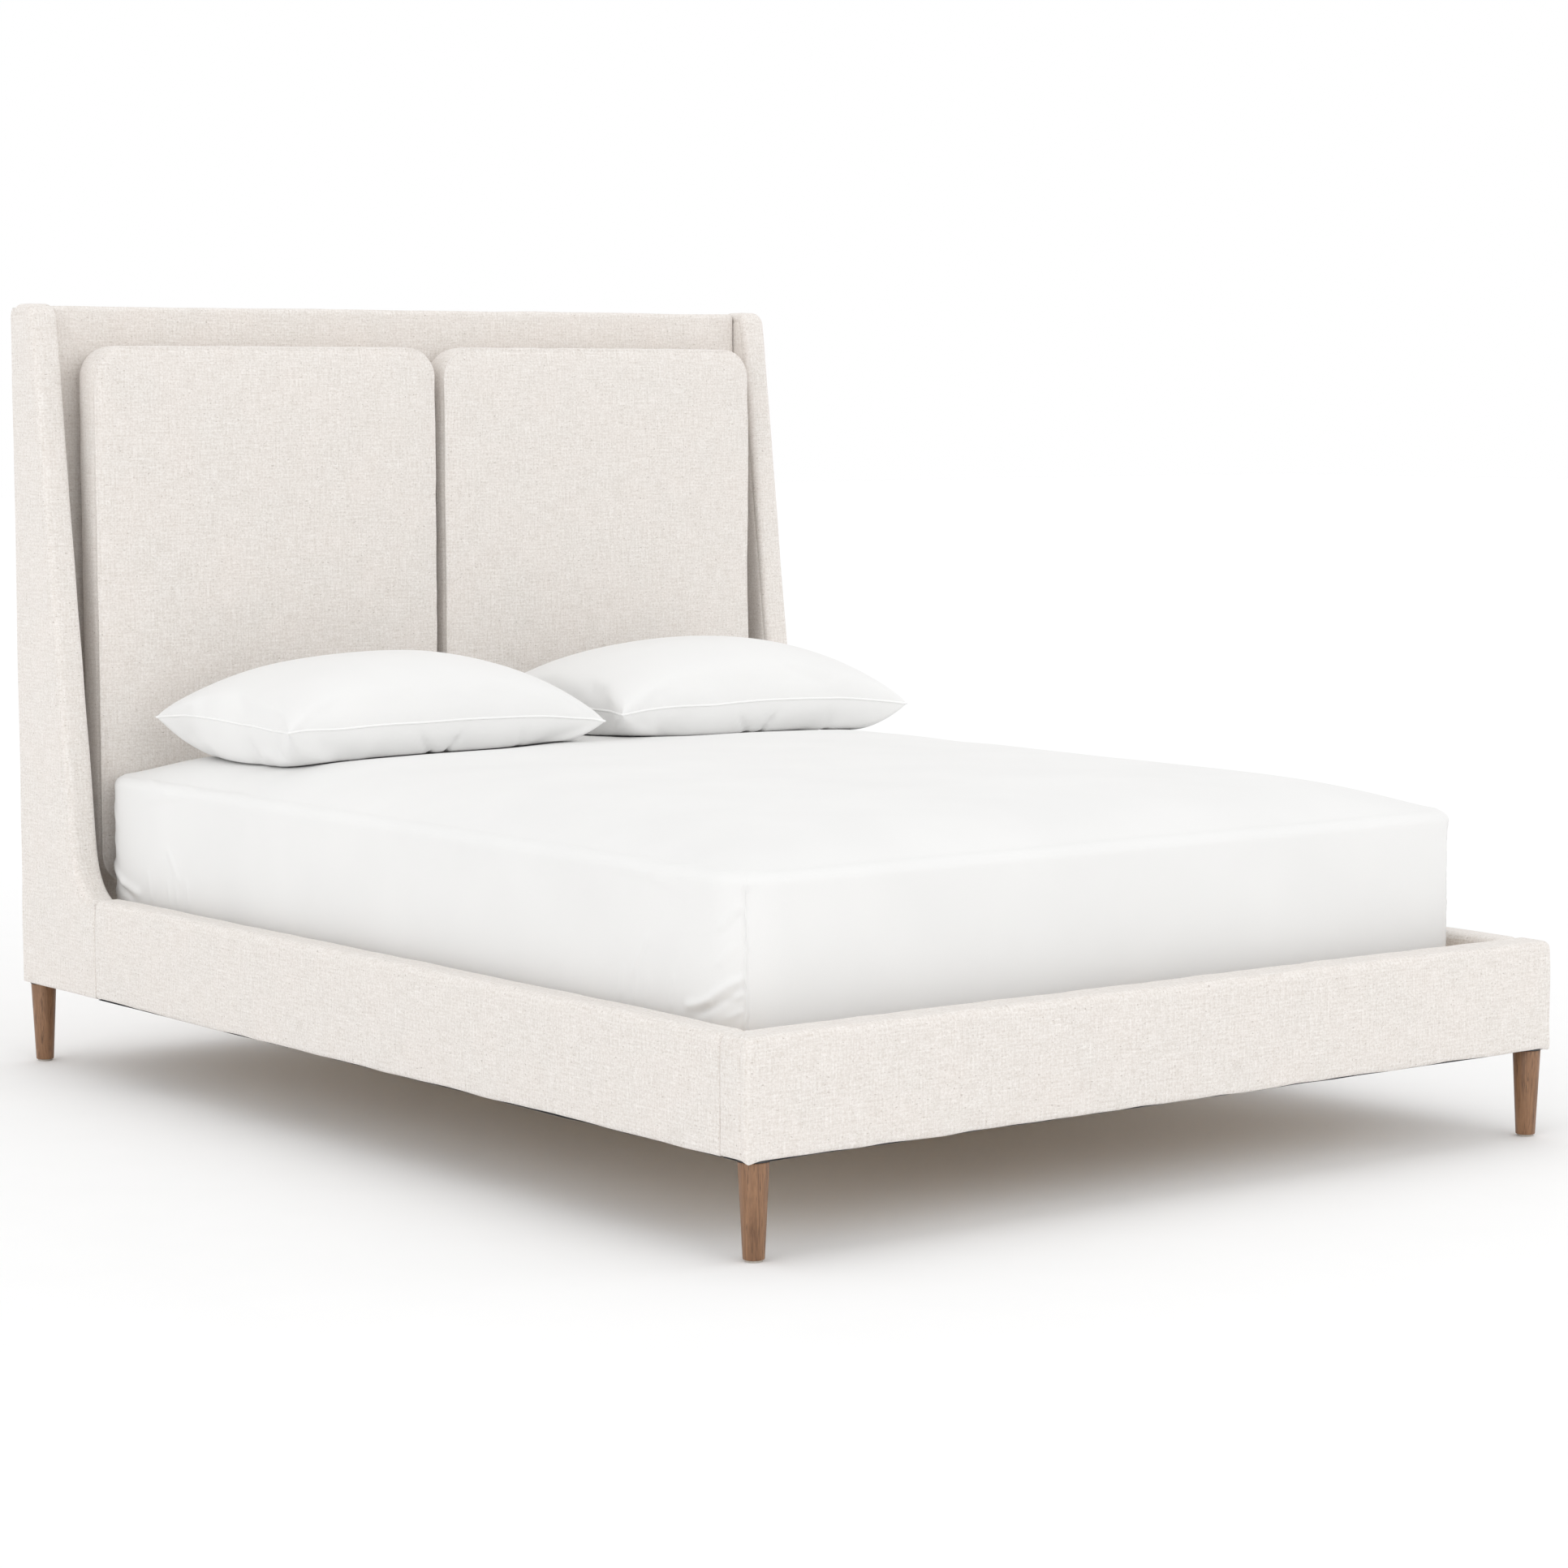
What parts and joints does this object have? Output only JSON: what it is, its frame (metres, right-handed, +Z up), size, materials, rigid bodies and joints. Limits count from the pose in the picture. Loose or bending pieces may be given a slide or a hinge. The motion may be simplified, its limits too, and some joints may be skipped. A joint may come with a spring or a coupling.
{
  "type": "upholstered headboard bed",
  "caption": "Upholstered platform bed with a winged headboard, padded cushions, tapered wooden legs, slatted base, mattress, fitted sheet and pillows.",
  "frame": {"origin": "on the floor, under the middle of the bed's footprint", "axes": "+X to the right as seen from the foot, +Y from the foot to the headboard, +Z up"},
  "size_m": [1.7, 2.31, 1.43],
  "materials": {
    "upholstery": "woven linen blend, cream with darker flecks",
    "frame_timber": "sawn and planed softwood, unfinished",
    "plywood": "plywood, unfinished",
    "leg_wood": "brown stained hardwood, satin",
    "black_steel": "black powder coat",
    "glide_plastic": "matt glide",
    "mattress_ticking": "quilted white ticking",
    "bed_linen": "plain white cotton percale"
  },
  "bodies": {
    "bed_frame": {"headboard_post_left": "frame_timber", "headboard_post_right": "frame_timber", "headboard_bottom_rail": "frame_timber", "headboard_top_rail": "frame_timber", "headboard_board": "plywood", "headboard_front_pad": "upholstery", "headboard_back_cover": "upholstery", "wing_core_left": "frame_timber", "wing_cover_left": "upholstery", "wing_core_right": "frame_timber", "wing_cover_right": "upholstery", "cushion_board_left": "plywood", "headboard_cushion_left": "upholstery", "cushion_board_right": "plywood", "headboard_cushion_right": "upholstery", "side_rail_core_left": "frame_timber", "side_rail_cover_left": "upholstery", "slat_ledger_left": "frame_timber", "side_rail_core_right": "frame_timber", "side_rail_cover_right": "upholstery", "slat_ledger_right": "frame_timber", "foot_rail_core": "frame_timber", "foot_rail_cover": "upholstery", "rail_bracket_foot_left": "black_steel", "rail_bracket_foot_right": "black_steel", "rail_bracket_head_left": "black_steel", "rail_bracket_head_right": "black_steel", "slat_01": "frame_timber", "slat_02": "frame_timber", "slat_03": "frame_timber", "slat_04": "frame_timber", "slat_05": "frame_timber", "slat_06": "frame_timber", "slat_07": "frame_timber", "slat_08": "frame_timber", "slat_09": "frame_timber", "slat_10": "frame_timber", "slat_11": "frame_timber", "slat_12": "frame_timber", "centre_beam": "frame_timber", "beam_hanger_foot": "black_steel", "beam_hanger_head": "black_steel", "centre_leg": "frame_timber", "leg_plate_foot_left": "black_steel", "leg_foot_left": "leg_wood", "leg_glide_foot_left": "glide_plastic", "leg_plate_foot_right": "black_steel", "leg_foot_right": "leg_wood", "leg_glide_foot_right": "glide_plastic", "leg_plate_head_left": "black_steel", "leg_head_left": "leg_wood", "leg_glide_head_left": "glide_plastic", "leg_plate_head_right": "black_steel", "leg_head_right": "leg_wood", "leg_glide_head_right": "glide_plastic"},
    "bedding": {"mattress": "mattress_ticking", "fitted_sheet": "bed_linen"},
    "pillow_left_body": {"pillow_left": "bed_linen"},
    "pillow_right_body": {"pillow_right": "bed_linen"},
    "levelling_foot_body": {"levelling_foot": "black_steel"}
  },
  "joints": [
    {"name": "mattress_lift", "type": "slide", "parent": "bed_frame", "child": "bedding", "axis": [0, 0, 1], "range_m": [0, 0.3]},
    {"name": "pillow_left_lift", "type": "slide", "parent": "bedding", "child": "pillow_left_body", "axis": [0, 0, 1], "range_m": [0, 0.2]},
    {"name": "pillow_right_lift", "type": "slide", "parent": "bedding", "child": "pillow_right_body", "axis": [0, 0, 1], "range_m": [0, 0.2]},
    {"name": "levelling_foot_screw", "type": "slide", "parent": "bed_frame", "child": "levelling_foot_body", "axis": [0, 0, 1], "range_m": [0, 0.012]}
  ]
}
